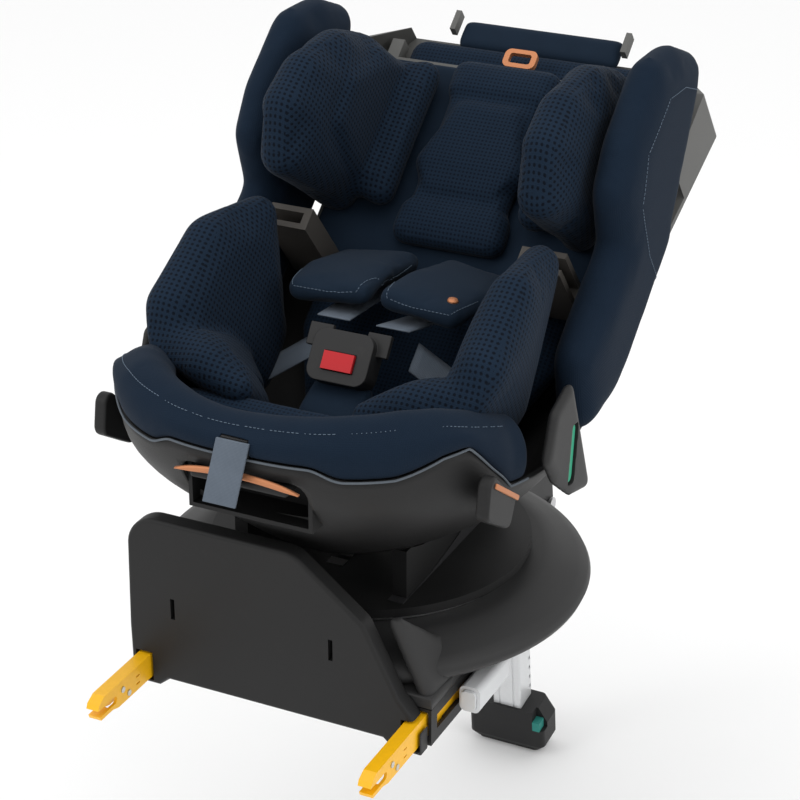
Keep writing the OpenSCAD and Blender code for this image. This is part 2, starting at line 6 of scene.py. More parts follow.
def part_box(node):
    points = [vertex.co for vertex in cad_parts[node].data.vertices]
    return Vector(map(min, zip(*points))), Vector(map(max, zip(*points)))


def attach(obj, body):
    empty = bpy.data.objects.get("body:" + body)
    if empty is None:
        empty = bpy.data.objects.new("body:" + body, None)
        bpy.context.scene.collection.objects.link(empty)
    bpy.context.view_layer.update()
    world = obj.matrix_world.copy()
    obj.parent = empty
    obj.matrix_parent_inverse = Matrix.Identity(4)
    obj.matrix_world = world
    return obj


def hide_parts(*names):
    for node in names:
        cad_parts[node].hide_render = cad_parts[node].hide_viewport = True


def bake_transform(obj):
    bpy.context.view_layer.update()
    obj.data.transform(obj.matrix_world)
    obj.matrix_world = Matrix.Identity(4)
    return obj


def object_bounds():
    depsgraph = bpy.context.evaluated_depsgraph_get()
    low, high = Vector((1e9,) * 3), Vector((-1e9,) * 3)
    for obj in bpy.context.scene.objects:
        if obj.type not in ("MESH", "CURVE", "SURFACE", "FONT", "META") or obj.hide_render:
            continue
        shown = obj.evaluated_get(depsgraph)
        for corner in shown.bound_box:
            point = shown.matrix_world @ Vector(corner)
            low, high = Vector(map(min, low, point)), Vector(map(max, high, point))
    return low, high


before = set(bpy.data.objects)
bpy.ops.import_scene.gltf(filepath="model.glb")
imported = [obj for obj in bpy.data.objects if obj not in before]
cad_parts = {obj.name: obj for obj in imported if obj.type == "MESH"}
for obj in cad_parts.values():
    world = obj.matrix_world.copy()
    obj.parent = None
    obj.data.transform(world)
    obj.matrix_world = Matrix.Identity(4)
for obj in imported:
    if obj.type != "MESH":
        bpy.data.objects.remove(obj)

cad_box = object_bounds()
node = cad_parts
SIDES = ((-1, "left"), (1, "right"))

# ---------- studio ----------
# A pale floor under the load leg's foot, soft white lights on both sides and
# a camera a little above the seat, to its right.
bpy.context.scene.view_settings.view_transform = "Standard"
floor_mesh = bpy.data.meshes.new("studio_floor")
bm = bmesh.new()
bmesh.ops.create_grid(bm, x_segments=1, y_segments=1, size=9,
                      matrix=Matrix.Translation((0, 0, cad_box[0].z - 0.002)))
bm.to_mesh(floor_mesh)
bm.free()
floor = bpy.data.objects.new("studio_floor", floor_mesh)
bpy.context.collection.objects.link(floor)
pale = bpy.data.materials.new("pale_floor")
pale.use_nodes = True
pale.node_tree.nodes["Principled BSDF"].inputs["Base Color"].default_value = (0.93, 0.93, 0.93, 1)
pale.node_tree.nodes["Principled BSDF"].inputs["Roughness"].default_value = 0.9
floor.data.materials.append(pale)

world = bpy.data.worlds.new("studio")
bpy.context.scene.world = world
world.use_nodes = True
world.node_tree.nodes["Background"].inputs["Color"].default_value = (1, 1, 1, 1)
world.node_tree.nodes["Background"].inputs["Strength"].default_value = 1.0


def soft_light(name, place, aim, size, watts):
    lamp = bpy.data.lights.new(name, "AREA")
    lamp.shape, lamp.size, lamp.energy = "SQUARE", size, watts
    ob = bpy.data.objects.new(name, lamp)
    ob.location = place
    ob.rotation_euler = (Vector(aim) - Vector(place)).to_track_quat("-Z", "Y").to_euler()
    bpy.context.collection.objects.link(ob)


soft_light("light_left", (-1.6, -1.9, 1.9), (0, 0, 0.25), 1.2, 14)
soft_light("light_right", (2.2, -0.3, 1.6), (0, 0, 0.25), 1.0, 8)
soft_light("light_top", (0, -0.4, 2.6), (0, 0, 0.2), 1.6, 12)

camera = bpy.data.objects.new("camera", bpy.data.cameras.new("camera"))
camera.data.lens = 103.5
camera.data.sensor_width = 36
camera.location = (0.8925, -1.7819, 1.1946)
camera.rotation_euler = (math.radians(64.4), 0, math.radians(25.8))
bpy.context.collection.objects.link(camera)
bpy.context.scene.camera = camera


# ---------- moulded plastic of the base ----------
# The tray, cover, panel and leg parts are injection moulded in dark plastic
# with a fine spark grain that takes a little dust and rubbing.
def new_group(name, inputs, outputs):
    group = bpy.data.node_groups.new(name, "ShaderNodeTree")
    for label, kind, value in inputs:
        sock = group.interface.new_socket(label, in_out="INPUT", socket_type=kind)
        if value is not None:
            sock.default_value = value
    for label, kind in outputs:
        group.interface.new_socket(label, in_out="OUTPUT", socket_type=kind)
    return (group, group.nodes.new("NodeGroupInput"), group.nodes.new("NodeGroupOutput"))


COL, NUM, VEC = "NodeSocketColor", "NodeSocketFloat", "NodeSocketVector"


def math_node(tree, op, a, b=None, c=None, clamp=False):
    n = tree.nodes.new("ShaderNodeMath")
    n.operation, n.use_clamp = op, clamp
    for i, v in enumerate((a, b, c)):
        if v is None:
            continue
        if isinstance(v, (int, float)):
            n.inputs[i].default_value = v
        else:
            tree.links.new(v, n.inputs[i])
    return n.outputs[0]


def mix_colour(tree, fac, a, b):
    n = tree.nodes.new("ShaderNodeMix")
    n.data_type = "RGBA"
    for sock, v in ((n.inputs[0], fac), (n.inputs[6], a), (n.inputs[7], b)):
        if hasattr(v, "is_linked"):
            tree.links.new(v, sock)
        else:
            sock.default_value = v
    return n.outputs[2]


def noise(tree, vector, scale, detail=3.0, rough=0.55):
    n = tree.nodes.new("ShaderNodeTexNoise")
    n.inputs["Scale"].default_value = scale
    n.inputs["Detail"].default_value = detail
    n.inputs["Roughness"].default_value = rough
    tree.links.new(vector, n.inputs["Vector"])
    return n.outputs["Fac"]


grain, g_in, g_out = new_group(
    "moulded_grain",
    [("Vector", VEC, None), ("Colour", COL, (0.03, 0.03, 0.03, 1)), ("Rub", NUM, 0.3)],
    [("Colour", COL), ("Roughness", NUM), ("Height", NUM)])
fine = noise(grain, g_in.outputs["Vector"], 1400, 2)
cloudy = noise(grain, g_in.outputs["Vector"], 9, 4)
rubbed = noise(grain, g_in.outputs["Vector"], 60, 5, 0.7)
rub_mask = math_node(grain, "MULTIPLY", math_node(grain, "GREATER_THAN", rubbed, 0.62),
                     math_node(grain, "MULTIPLY", g_in.outputs["Rub"], 0.35))
lighter = mix_colour(grain, 0.05, g_in.outputs["Colour"], (0.5, 0.5, 0.5, 1))
shade = mix_colour(grain, math_node(grain, "MULTIPLY", cloudy, 0.35), g_in.outputs["Colour"], lighter)
shade = mix_colour(grain, rub_mask, shade, lighter)
grain.links.new(shade, g_out.inputs["Colour"])
grain.links.new(math_node(grain, "MULTIPLY_ADD", cloudy, 0.22, 0.40), g_out.inputs["Roughness"])
grain.links.new(fine, g_out.inputs["Height"])


def principled(name):
    mat = bpy.data.materials.new(name)
    mat.use_nodes = True
    return mat, mat.node_tree, mat.node_tree.nodes["Principled BSDF"]


def object_coords(tree, turn=(0, 0, 0)):
    tex = tree.nodes.new("ShaderNodeTexCoord")
    mapping = tree.nodes.new("ShaderNodeMapping")
    mapping.inputs["Rotation"].default_value = turn
    tree.links.new(tex.outputs["Object"], mapping.inputs["Vector"])
    return mapping.outputs["Vector"]


def bumped(tree, shader, height, strength, distance=0.0004):
    bump = tree.nodes.new("ShaderNodeBump")
    bump.inputs["Strength"].default_value = strength
    bump.inputs["Distance"].default_value = distance
    tree.links.new(height, bump.inputs["Height"])
    tree.links.new(bump.outputs["Normal"], shader.inputs["Normal"])


def moulded_plastic(name, colour, rub=0.3, bump=0.25):
    mat, tree, shader = principled(name)
    g = tree.nodes.new("ShaderNodeGroup")
    g.node_tree = grain
    g.inputs["Colour"].default_value = (*colour, 1)
    g.inputs["Rub"].default_value = rub
    tree.links.new(object_coords(tree), g.inputs["Vector"])
    tree.links.new(g.outputs["Colour"], shader.inputs["Base Color"])
    tree.links.new(g.outputs["Roughness"], shader.inputs["Roughness"])
    shader.inputs["Specular IOR Level"].default_value = 0.22
    bumped(tree, shader, g.outputs["Height"], bump)
    return mat


def finish_node(name, material):
    ob = node[name]
    for slot in ob.material_slots:
        slot.material = material


def back(x, s, t):
    """Place on the backrest: s up from the bight, t towards the child (mm)."""
    return Vector((x, 30 + 0.766044 * s - 0.642788 * t, 170 + 0.642788 * s + 0.766044 * t)) / 1000


def pan(x, p, q):
    """Place on the seat pan: p towards the front lip, q square to the pan (mm)."""
    return Vector((x, 30 - 0.819152 * p + 0.573576 * q, 170 + 0.573576 * p + 0.819152 * q)) / 1000


def make_object(name, bm, material):
    mesh = bpy.data.meshes.new(name)
    for f in bm.faces:
        f.smooth = True
    bm.to_mesh(mesh)
    bm.free()
    ob = bpy.data.objects.new(name, mesh)
    ob.data.materials.append(material)
    bpy.context.collection.objects.link(ob)
    return ob


base_plastic = moulded_plastic("base_plastic", (0.0095, 0.0095, 0.0098))
for part in ("base_tray", "leg_bracket", "arm_guides"):
    finish_node(part, base_plastic)


def apply_modifiers(ob):
    depsgraph = bpy.context.evaluated_depsgraph_get()
    mesh = bpy.data.meshes.new_from_object(ob.evaluated_get(depsgraph))
    old = ob.data
    ob.modifiers.clear()
    ob.data = mesh
    mesh.name = ob.name
    bpy.data.meshes.remove(old)
    return ob


def weigh_normals(ob):
    mod = ob.modifiers.new("normals", "WEIGHTED_NORMAL")
    mod.keep_sharp, mod.weight = True, 100
    return apply_modifiers(ob)


# Rebound panel: one flat moulding with a large round corner, its right side
# sweeping down to the cover, and two narrow slots in its face.
def plate(name, outline, y0, y1, edge, material):
    bm = bmesh.new()
    face = bm.faces.new([bm.verts.new((x / 1000, y0 / 1000, z / 1000)) for x, z in outline])
    out = bmesh.ops.extrude_face_region(bm, geom=[face])
    moved = [v for v in out["geom"] if isinstance(v, bmesh.types.BMVert)]
    bmesh.ops.translate(bm, verts=moved, vec=(0, (y1 - y0) / 1000, 0))
    bmesh.ops.recalc_face_normals(bm, faces=bm.faces)
    rims = [e for e in bm.edges if abs(e.verts[0].co.y - e.verts[1].co.y) < 1e-6]
    bmesh.ops.bevel(bm, geom=rims, offset=edge / 1000, segments=4, profile=0.5,
                    affect="EDGES", material=-1)
    return make_object(name, bm, material)


def arc(cx, cz, r, a0, a1, n=10):
    return [(cx + r * math.cos(math.radians(a0 + (a1 - a0) * i / n)),
             cz + r * math.sin(math.radians(a0 + (a1 - a0) * i / n))) for i in range(n + 1)]


panel_plastic = moulded_plastic("panel_plastic", (0.0088, 0.0088, 0.0090), rub=0.15)
panel_outline = ([(-154, 0), (-125, 0), (-114, 9), (112, 9), (122, 0), (150, 0), (150, 22)]
                 + [(140, 40), (128, 54)] + arc(74, 108, 24, 20, 52, 5)
                 + arc(12, 150, 30, 52, 90, 5) + arc(-121, 148, 32, 90, 176, 10) + [(-155, 60)])
panel = plate("rebound_panel_moulding", panel_outline, -205, -185, 4, panel_plastic)
cut = bpy.data.objects.new("cut", bpy.data.meshes.new("cut"))
bm = bmesh.new()
for x in (-106, 60):
    bmesh.ops.create_cube(bm, size=1, matrix=Matrix.Translation((x / 1000, -0.2025, 0.089))
                          @ Matrix.Diagonal((0.0045, 0.012, 0.022, 1)))
for s in (-1, 1):
    bmesh.ops.create_cube(bm, size=1, matrix=Matrix.Translation((s * 0.140, -0.195, 0.0195))
                          @ Matrix.Diagonal((0.0185, 0.05, 0.031, 1)))
bm.to_mesh(cut.data)
bm.free()
bpy.context.collection.objects.link(cut)
mod = panel.modifiers.new("slots", "BOOLEAN")
mod.operation, mod.object, mod.solver = "DIFFERENCE", cut, "EXACT"
apply_modifiers(panel)
weigh_normals(panel)
bpy.data.objects.remove(cut)
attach(panel, "base")
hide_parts("rebound_panel")


# Base cover: a round dish about the turntable with a soft rolled rim, and a
# shoulder on each side that flows up into the rebound panel.
def lathe(name, profile, material, steps=128):
    bm = bmesh.new()
    line = [bm.verts.new((r / 1000, 0, z / 1000)) for r, z in profile]
    edges = [bm.edges.new((line[i], line[(i + 1) % len(line)])) for i in range(len(line))]
    bmesh.ops.spin(bm, geom=line + edges, cent=(0, 0, 0), axis=(0, 0, 1),
                   angle=math.tau, steps=steps, use_merge=True)
    bmesh.ops.remove_doubles(bm, verts=bm.verts, dist=1e-6)
    bmesh.ops.recalc_face_normals(bm, faces=bm.faces)
    return make_object(name, bm, material)


def lumps(name, groups, voxel, material, smooth_steps=6):
    """One closed form made of hulls round balls; each ball is (place, radius)."""
    bm = bmesh.new()
    for balls in groups:
        ball = bmesh.new()
        for place, radius in balls:
            scale = radius if isinstance(radius, tuple) else (radius,) * 3
            turn = Matrix.Translation(place) @ Matrix.Diagonal([v / 1000 for v in scale] + [1])
            bmesh.ops.create_icosphere(ball, subdivisions=3, radius=1, matrix=turn)
        out = bmesh.ops.convex_hull(ball, input=ball.verts[:])
        bmesh.ops.delete(ball, geom=list({v for v in out["geom_interior"]
                                          if isinstance(v, bmesh.types.BMVert)}), context="VERTS")
        hull = bpy.data.meshes.new("hull")
        ball.to_mesh(hull)
        ball.free()
        bm.from_mesh(hull)
        bpy.data.meshes.remove(hull)
    ob = make_object(name, bm, material)
    mod = ob.modifiers.new("remesh", "REMESH")
    mod.mode, mod.voxel_size, mod.use_smooth_shade = "VOXEL", voxel / 1000, True
    mod = ob.modifiers.new("smooth", "SMOOTH")
    mod.factor, mod.iterations = 0.5, smooth_steps
    return apply_modifiers(ob)


cover_plastic = moulded_plastic("cover_plastic", (0.0240, 0.0240, 0.0243), rub=0.2)
dish = lathe("base_cover_dish", [
    (24, 78), (60, 79), (160, 79), (176, 74), (204, 60), (150, 46), (150, 39),
    (172, 39.5), (205, 48), (214, 55), (217, 62), (214, 68), (204, 73), (188, 80),
    (178, 84), (170, 85), (160, 84), (24, 84)], cover_plastic)
bm = bmesh.new()
bm.from_mesh(dish.data)
bmesh.ops.bisect_plane(bm, geom=bm.verts[:] + bm.edges[:] + bm.faces[:],
                       plane_co=(0, -0.1843, 0), plane_no=(0, -1, 0), clear_outer=True)
bmesh.ops.holes_fill(bm, edges=[e for e in bm.edges if e.is_boundary], sides=0)
bm.to_mesh(dish.data)
bm.free()
shoulder = []
for s, high in ((1, 116), (-1, 150)):
    top = Vector((s * 0.112, -0.176, high / 1000))
    shoulder.append([(top, 7), (Vector((s * 0.142, -0.176, 0.052)), 8),
                     (Vector((s * 0.146, -0.120, 0.050)), 8), (Vector((s * 0.128, -0.132, 0.075)), 8)])
    shoulder.append([(Vector((s * 0.146, -0.120, 0.050)), 8), (Vector((s * 0.128, -0.132, 0.075)), 8),
                     (Vector((s * 0.170, -0.070, 0.068)), 8), (Vector((s * 0.147, -0.040, 0.050)), 8)])
    shoulder.append([(Vector((s * 0.144, y, 0.046)), 8) for y in (-0.175, 0.09)])
shoulders = lumps("base_cover_shoulders", shoulder, 4, cover_plastic, 8)
rim_plate = plate("base_cover_flange", [(-152, 38.5), (152, 38.5), (152, 50), (-152, 50)],
                  -184.5, 108, 1.5, cover_plastic)
tail = plate("base_cover_tail", [(-58, 38.5), (58, 38.5), (58, 50.5), (-58, 50.5)],
             100, 276, 2, cover_plastic)
for ob in (dish, shoulders, rim_plate, tail):
    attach(ob, "base")
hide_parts("base_cover")


# ---------- metal parts ----------
# Turned steel spindle, ring, pins and tube, black coated rails and hooks, and
# folded arms in yellow powder coat.
def metal(name, colour, rough, metallic=1.0, brush=(1, 1, 14)):
    mat, tree, shader = principled(name)
    vec = object_coords(tree)
    stretch = tree.nodes.new("ShaderNodeMapping")
    stretch.inputs["Scale"].default_value = brush
    tree.links.new(vec, stretch.inputs["Vector"])
    lines = noise(tree, stretch.outputs["Vector"], 220, 3)
    tone = mix_colour(tree, math_node(tree, "MULTIPLY", lines, 0.35), (*colour, 1),
                      (colour[0] * 0.6, colour[1] * 0.6, colour[2] * 0.6, 1))
    tree.links.new(tone, shader.inputs["Base Color"])
    tree.links.new(math_node(tree, "MULTIPLY_ADD", lines, 0.15, rough), shader.inputs["Roughness"])
    shader.inputs["Metallic"].default_value = metallic
    bumped(tree, shader, lines, 0.1, 0.0002)
    return mat


steel = metal("plain_steel", (0.55, 0.55, 0.56), 0.28)
black_steel = metal("black_coated_steel", (0.03, 0.03, 0.032), 0.4, 0.3)
yellow = metal("yellow_powder_coat", (0.92, 0.48, 0.004), 0.32, 0.0, (1, 1, 1))
zinc = metal("zinc_rivets", (0.62, 0.62, 0.6), 0.3)
for part in ("slew_ring", "swivel_spindle", "leg_hinge_pin", "arm_cross_tube",
             "recline_rack", "recline_pawl"):
    finish_node(part, steel)
for part in ("recline_rails", "anchor_hook_left", "anchor_hook_right"):
    finish_node(part, black_steel)
for part in ("anchor_arm_left", "anchor_arm_right"):
    finish_node(part, yellow)
finish_node("arm_rivets", zinc)

light_plastic = moulded_plastic("light_grip_plastic", (0.60, 0.61, 0.62), 0.1, 0.12)
for part in ("arm_grip_left", "arm_grip_right", "grip_button_left", "grip_button_right",
             "leg_adjust_button"):
    finish_node(part, light_plastic)

# ---------- load leg ----------
# A dark plastic housing on the hinge pin, a grooved aluminium profile that
# slides in it, and a plastic foot with a rubber sole and an indicator window.
leg_plastic = moulded_plastic("leg_plastic", (0.0120, 0.0120, 0.0125), 0.3)
for part in ("leg_upper_housing", "leg_foot"):
    finish_node(part, leg_plastic)
finish_node("leg_inner_profile", metal("grooved_aluminium", (0.72, 0.73, 0.74), 0.3, 0.35, (1, 1, 8)))
finish_node("foot_sole", moulded_plastic("sole_rubber", (0.012, 0.012, 0.012), 0.4, 0.5))
finish_node("foot_indicator", moulded_plastic("indicator_window", (0.02, 0.20, 0.17), 0.1, 0.05))

# ---------- turntable and the seat's dark inner parts ----------
# Turntable, recline shoes, seat pan and pocket, all in one near-black plastic.
dark_plastic = moulded_plastic("turntable_plastic", (0.0042, 0.0042, 0.0044), 0.2)
for part in ("turntable", "recline_shoes", "seat_pan", "front_pocket"):
    finish_node(part, dark_plastic)


# ---------- seat shell ----------
# Deep plastic shell blown from one moulding: a round drum at the bottom that
# opens to a wide rim, which drops behind the front corners.
def blend_steps(table, z):
    for (z0, *a), (z1, *b) in zip(table, table[1:]):
        if z <= z1:
            k = max(0.0, (z - z0) / (z1 - z0))
            return [u + (v - u) * k for u, v in zip(a, b)]
    return list(table[-1][1:])


def rim_height(y):
    return blend_steps([(-300, 286), (-222, 287), (-190, 300), (-166, 302), (-138, 272),
                        (-104, 239), (-40, 230), (30, 228), (110, 250), (150, 296), (300, 330)], y)[0]


# height, half width, front, back, squareness
SHELL = [(124, 60, 100, 22, 2.0), (134, 92, 118, 58, 2.0), (150, 126, 142, 106, 2.0),
         (168, 153, 162, 146, 2.0), (188, 173, 184, 176, 2.1), (206, 188, 206, 204, 2.3),
         (228, 199, 228, 224, 2.5), (256, 204, 248, 244, 2.6), (290, 205, 260, 264, 2.6),
         (320, 205, 263, 282, 2.6), (345, 200, 258, 290, 2.6)]


def shell_point(angle, z, out=0.0):
    half, front, rear, power = blend_steps(SHELL, z)
    c, s = math.cos(angle), math.sin(angle)
    x = (half + out) * math.copysign(abs(c) ** (2 / power), c)
    y = ((rear if s > 0 else front) + out) * math.copysign(abs(s) ** (2 / power), s)
    return x, y


def rim_at(angle):
    z = 280.0
    for _ in range(6):
        x, y = shell_point(angle, z)
        z = rim_height(y)
    k = min(1, max(0, (96 - abs(x)) / 30)) if y < -150 else 0
    return z + 11 * k * k * (3 - 2 * k)


def ring_of(bm, places):
    out = bmesh.ops.create_circle(bm, segments=len(places), radius=1)["verts"]
    for v, place in zip(out, places):
        v.co = Vector(place) / 1000
    return out


def loft(bm, rings):
    made = [ring_of(bm, r) for r in rings]
    for a, b in zip(made, made[1:]):
        n = len(a)
        for i in range(n):
            bm.faces.new((a[i], a[(i + 1) % n], b[(i + 1) % n], b[i]))
    return made


SEGS = 120
angles = [math.tau * i / SEGS for i in range(SEGS)]
rims = [rim_at(a) for a in angles]
rings = []
for z in (124, 126, 134, 150, 168, 188, 206):
    ring = []
    for a in angles:
        x, y = shell_point(a, z, -16 if z == 124 else 0)
        ring.append((x, y, z))
    rings.append(ring)
for v in (0.2, 0.4, 0.6, 0.8, 1.0):
    ring = []
    for a, r in zip(angles, rims):
        z = 206 + (r - 206) * v
        x, y = shell_point(a, z)
        ring.append((x, y, z))
    rings.append(ring)
bm = bmesh.new()
made = loft(bm, rings)
bm.faces.new(list(reversed(made[0])))
bmesh.ops.recalc_face_normals(bm, faces=bm.faces)
shell_plastic = moulded_plastic("shell_plastic", (0.0092, 0.0092, 0.0094), 0.25)
shell = make_object("seat_shell_moulding", bm, shell_plastic)
mod = shell.modifiers.new("round", "SUBSURF")
mod.levels = mod.render_levels = 1
mod = shell.modifiers.new("wall", "SOLIDIFY")
mod.thickness, mod.offset = 0.004, -1
apply_modifiers(shell)


def rounded_block(bm, place, size, edge, turn=None):
    sub = bmesh.new()
    bmesh.ops.create_cube(sub, size=1, matrix=Matrix.Diagonal([v / 1000 for v in size] + [1]))
    bmesh.ops.bevel(sub, geom=sub.edges[:], offset=edge / 1000, segments=4, profile=0.5,
                    affect="EDGES", material=-1)
    at = Matrix.Translation(place) @ (turn.to_4x4() if turn else Matrix.Identity(4))
    bmesh.ops.transform(sub, matrix=at, verts=sub.verts)
    temp = bpy.data.meshes.new("temp")
    sub.to_mesh(temp)
    sub.free()
    bm.from_mesh(temp)
    bpy.data.meshes.remove(temp)


def cut_away(ob, blocks):
    cutter = bpy.data.objects.new("cut", bpy.data.meshes.new("cut"))
    bm = bmesh.new()
    for block in blocks:
        rounded_block(bm, *block)
    bm.to_mesh(cutter.data)
    bm.free()
    bpy.context.collection.objects.link(cutter)
    mod = ob.modifiers.new("cut", "BOOLEAN")
    mod.operation, mod.object, mod.solver = "DIFFERENCE", cutter, "EXACT"
    apply_modifiers(ob)
    bpy.data.objects.remove(cutter)


PAN_TURN = Matrix.Rotation(math.radians(-35), 3, "X")
low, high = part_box("recline_pawl")
pawl_room = ((low + high) / 2 + Vector((0, 0, 0.0025)), tuple((high - low) * 1000 + Vector((6, 6, 11))), 1)
cut_away(shell, [pawl_room, (Vector((0, -0.250, 0.252)), (124, 60, 56), 14),
                 (pan(205, 187, -41), (40, 82, 36), 12, PAN_TURN),
                 (pan(-205, 187, -41), (40, 82, 36), 12, PAN_TURN)])
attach(shell, "seat")
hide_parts("seat_shell")

bracket_plastic = moulded_plastic("bracket_plastic", (0.0150, 0.0150, 0.0153), 0.2)
# Belt brackets: plates with rounded lobes on the shell's sides, each with a
# slot cut over its green belt guide.
BRACKET = [(120, 76, 9), (139, 50, 8), (129, 14, 10), (100, 4, 10), (52, 2, 10), (18, 12, 7)]
for side, label in SIDES:
    bracket = lumps(f"belt_bracket_cover_{label}", [
        [(pan(side * 211.3, p, q), (5.2, r, r)) for p, q, r in BRACKET]], 2.5, bracket_plastic, 3)
    guide = node["belt_guides_green"].data
    near = [v.co for v in guide.vertices if v.co.x * side > 0]
    mid = (Vector(map(min, zip(*near))) + Vector(map(max, zip(*near)))) / 2
    long_way = max(near, key=lambda co: (co - mid).yz.length) - mid
    tilt = Matrix.Rotation(-math.atan2(long_way.y, long_way.z), 3, "X")
    cut_away(bracket, [(Vector((side * 0.2165, mid.y, mid.z)), (14, 15, 60), 4, tilt)])
    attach(bracket, "seat")
    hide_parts(f"belt_bracket_{label}")
finish_node("belt_guides_green", moulded_plastic("green_guide_plastic", (0.03, 0.33, 0.19), 0.1, 0.1))
grey_plastic = moulded_plastic("back_grey_plastic", (0.10, 0.10, 0.096), 0.2)
for part in ("back_brackets", "headrest_shell"):
    finish_node(part, grey_plastic)


def softened(part, radius, material, body):
    """The same moulding with its sharp edges rounded."""
    bm = bmesh.new()
    bm.from_mesh(node[part].data)
    bmesh.ops.remove_doubles(bm, verts=bm.verts, dist=1e-5)
    bmesh.ops.dissolve_limit(bm, angle_limit=math.radians(1), verts=bm.verts, edges=bm.edges)
    sharp = [e for e in bm.edges if len(e.link_faces) == 2
             and e.calc_face_angle() > math.radians(25)]
    bmesh.ops.bevel(bm, geom=sharp, offset=radius / 1000, segments=3, profile=0.5,
                    affect="EDGES", material=-1, clamp_overlap=True)
    bmesh.ops.recalc_face_normals(bm, faces=bm.faces)
    ob = weigh_normals(make_object(part + "_moulding", bm, material))
    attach(ob, body)
    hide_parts(part)
    return ob


softened("back_shell", 4, grey_plastic, "seat")
finish_node("headrest_guides", moulded_plastic("belt_guide_plastic", (0.055, 0.05, 0.045), 0.2))
copper = moulded_plastic("copper_lacquer", (0.50, 0.205, 0.095), 0.05, 0.05)
copper.node_tree.nodes["Principled BSDF"].inputs["Metallic"].default_value = 0.55
finish_node("headrest_handle", copper)
for label in ("left", "right"):
    softened(f"swivel_lever_{label}", 3, shell_plastic, f"lever_{label}")
buckle_plastic = moulded_plastic("buckle_plastic", (0.0170, 0.0170, 0.0175), 0.3)
finish_node("adjuster_button", buckle_plastic)
softened("buckle_body", 1.6, buckle_plastic, "seat")
finish_node("buckle_button", moulded_plastic("red_button_plastic", (0.50, 0.012, 0.018), 0.1, 0.05))

# Recline handle: a slim copper bow with pointed ends on a dark grip. Below it,
# the copper strip on each swivel lever.
bow = []
for i in range(33):
    x = -61 + 122 * i / 32
    bow.append(Vector((x, -260.5, 280.5 - 6 * (x / 61) ** 2)) / 1000)
bm = bmesh.new()
last = None
for place in bow:
    half = 3.4 * max(0.25, 1 - (abs(place.x) / 0.0625) ** 6)
    ring = ring_of(bm, [(place.x * 1000, place.y * 1000 + 2.2 * math.cos(a),
                         place.z * 1000 + half * math.sin(a))
                        for a in (math.tau * k / 16 for k in range(16))])
    if last:
        for k in range(16):
            bm.faces.new((last[k], last[(k + 1) % 16], ring[(k + 1) % 16], ring[k]))
    else:
        bm.faces.new(ring)
    last = ring
bm.faces.new(list(reversed(last)))
bmesh.ops.recalc_face_normals(bm, faces=bm.faces)
handle = make_object("recline_handle_bow", bm, copper)
bm = bmesh.new()
rounded_block(bm, Vector((0, -0.2365, 0.2715)), (96, 44, 9), 3)
grip = make_object("recline_handle_grip", bm, shell_plastic)
for ob in (handle, grip):
    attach(ob, "recline_handle")
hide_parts("recline_handle")
for side, label in SIDES:
    bm = bmesh.new()
    rounded_block(bm, pan(side * 201.6, 184, -29), (2.6, 62, 5), 1.1, PAN_TURN)
    strip = make_object(f"lever_accent_{label}", bm, copper)
    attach(strip, f"lever_{label}")

# ---------- fabrics ----------
# A close navy knit over foam. The inlay and headrest have rows of small open
# eyelets; the cover and wings are plain.
knit, k_in, k_out = new_group(
    "navy_knit",
    [("Vector", VEC, None), ("Facing", VEC, None), ("Colour", COL, (0.013, 0.022, 0.04, 1)),
     ("Stitch size", NUM, 0.0016),
     ("Eyelets", NUM, 0.0), ("Eyelet pitch", NUM, 0.0052)],
    [("Colour", COL), ("Roughness", NUM), ("Height", NUM)])
split = knit.nodes.new("ShaderNodeSeparateXYZ")
knit.links.new(k_in.outputs["Vector"], split.inputs[0])
face = knit.nodes.new("ShaderNodeSeparateXYZ")
knit.links.new(k_in.outputs["Facing"], face.inputs[0])
away = [math_node(knit, "ABSOLUTE", face.outputs[i]) for i in range(3)]
on_x = math_node(knit, "GREATER_THAN", away[0], math_node(knit, "MAXIMUM", away[1], away[2]))
on_y = math_node(knit, "GREATER_THAN", away[1], math_node(knit, "MAXIMUM", away[0], away[2]))


def choose(pick, yes, no):
    n = knit.nodes.new("ShaderNodeMix")
    n.data_type = "FLOAT"
    knit.links.new(pick, n.inputs[0])
    knit.links.new(no, n.inputs[2])
    knit.links.new(yes, n.inputs[3])
    return n.outputs[0]


flat = knit.nodes.new("ShaderNodeCombineXYZ")
knit.links.new(choose(on_x, split.outputs[1], split.outputs[0]), flat.inputs[0])
knit.links.new(choose(on_x, split.outputs[2], choose(on_y, split.outputs[2], split.outputs[1])),
               flat.inputs[1])
freq = math_node(knit, "DIVIDE", 1.0, k_in.outputs["Stitch size"])
scaled = knit.nodes.new("ShaderNodeVectorMath")
scaled.operation = "SCALE"
knit.links.new(flat.outputs[0], scaled.inputs[0])
knit.links.new(freq, scaled.inputs["Scale"])
sep = knit.nodes.new("ShaderNodeSeparateXYZ")
knit.links.new(scaled.outputs[0], sep.inputs[0])
wave_a = math_node(knit, "SINE", math_node(knit, "MULTIPLY", math_node(
    knit, "ADD", sep.outputs[0], sep.outputs[1]), math.tau / 2))
wave_b = math_node(knit, "SINE", math_node(knit, "MULTIPLY", math_node(
    knit, "SUBTRACT", sep.outputs[0], sep.outputs[1]), math.tau / 2))
loops = math_node(knit, "MULTIPLY_ADD", math_node(knit, "MULTIPLY", wave_a, wave_b), 0.5, 0.5)
fuzz = noise(knit, k_in.outputs["Vector"], 40, 5, 0.65)
holes_scale = knit.nodes.new("ShaderNodeVectorMath")
holes_scale.operation = "SCALE"
knit.links.new(flat.outputs[0], holes_scale.inputs[0])
knit.links.new(math_node(knit, "DIVIDE", 1.0, k_in.outputs["Eyelet pitch"]), holes_scale.inputs["Scale"])
cells = knit.nodes.new("ShaderNodeTexVoronoi")
cells.voronoi_dimensions = "2D"
cells.inputs["Scale"].default_value = 1.0
cells.inputs["Randomness"].default_value = 0.0
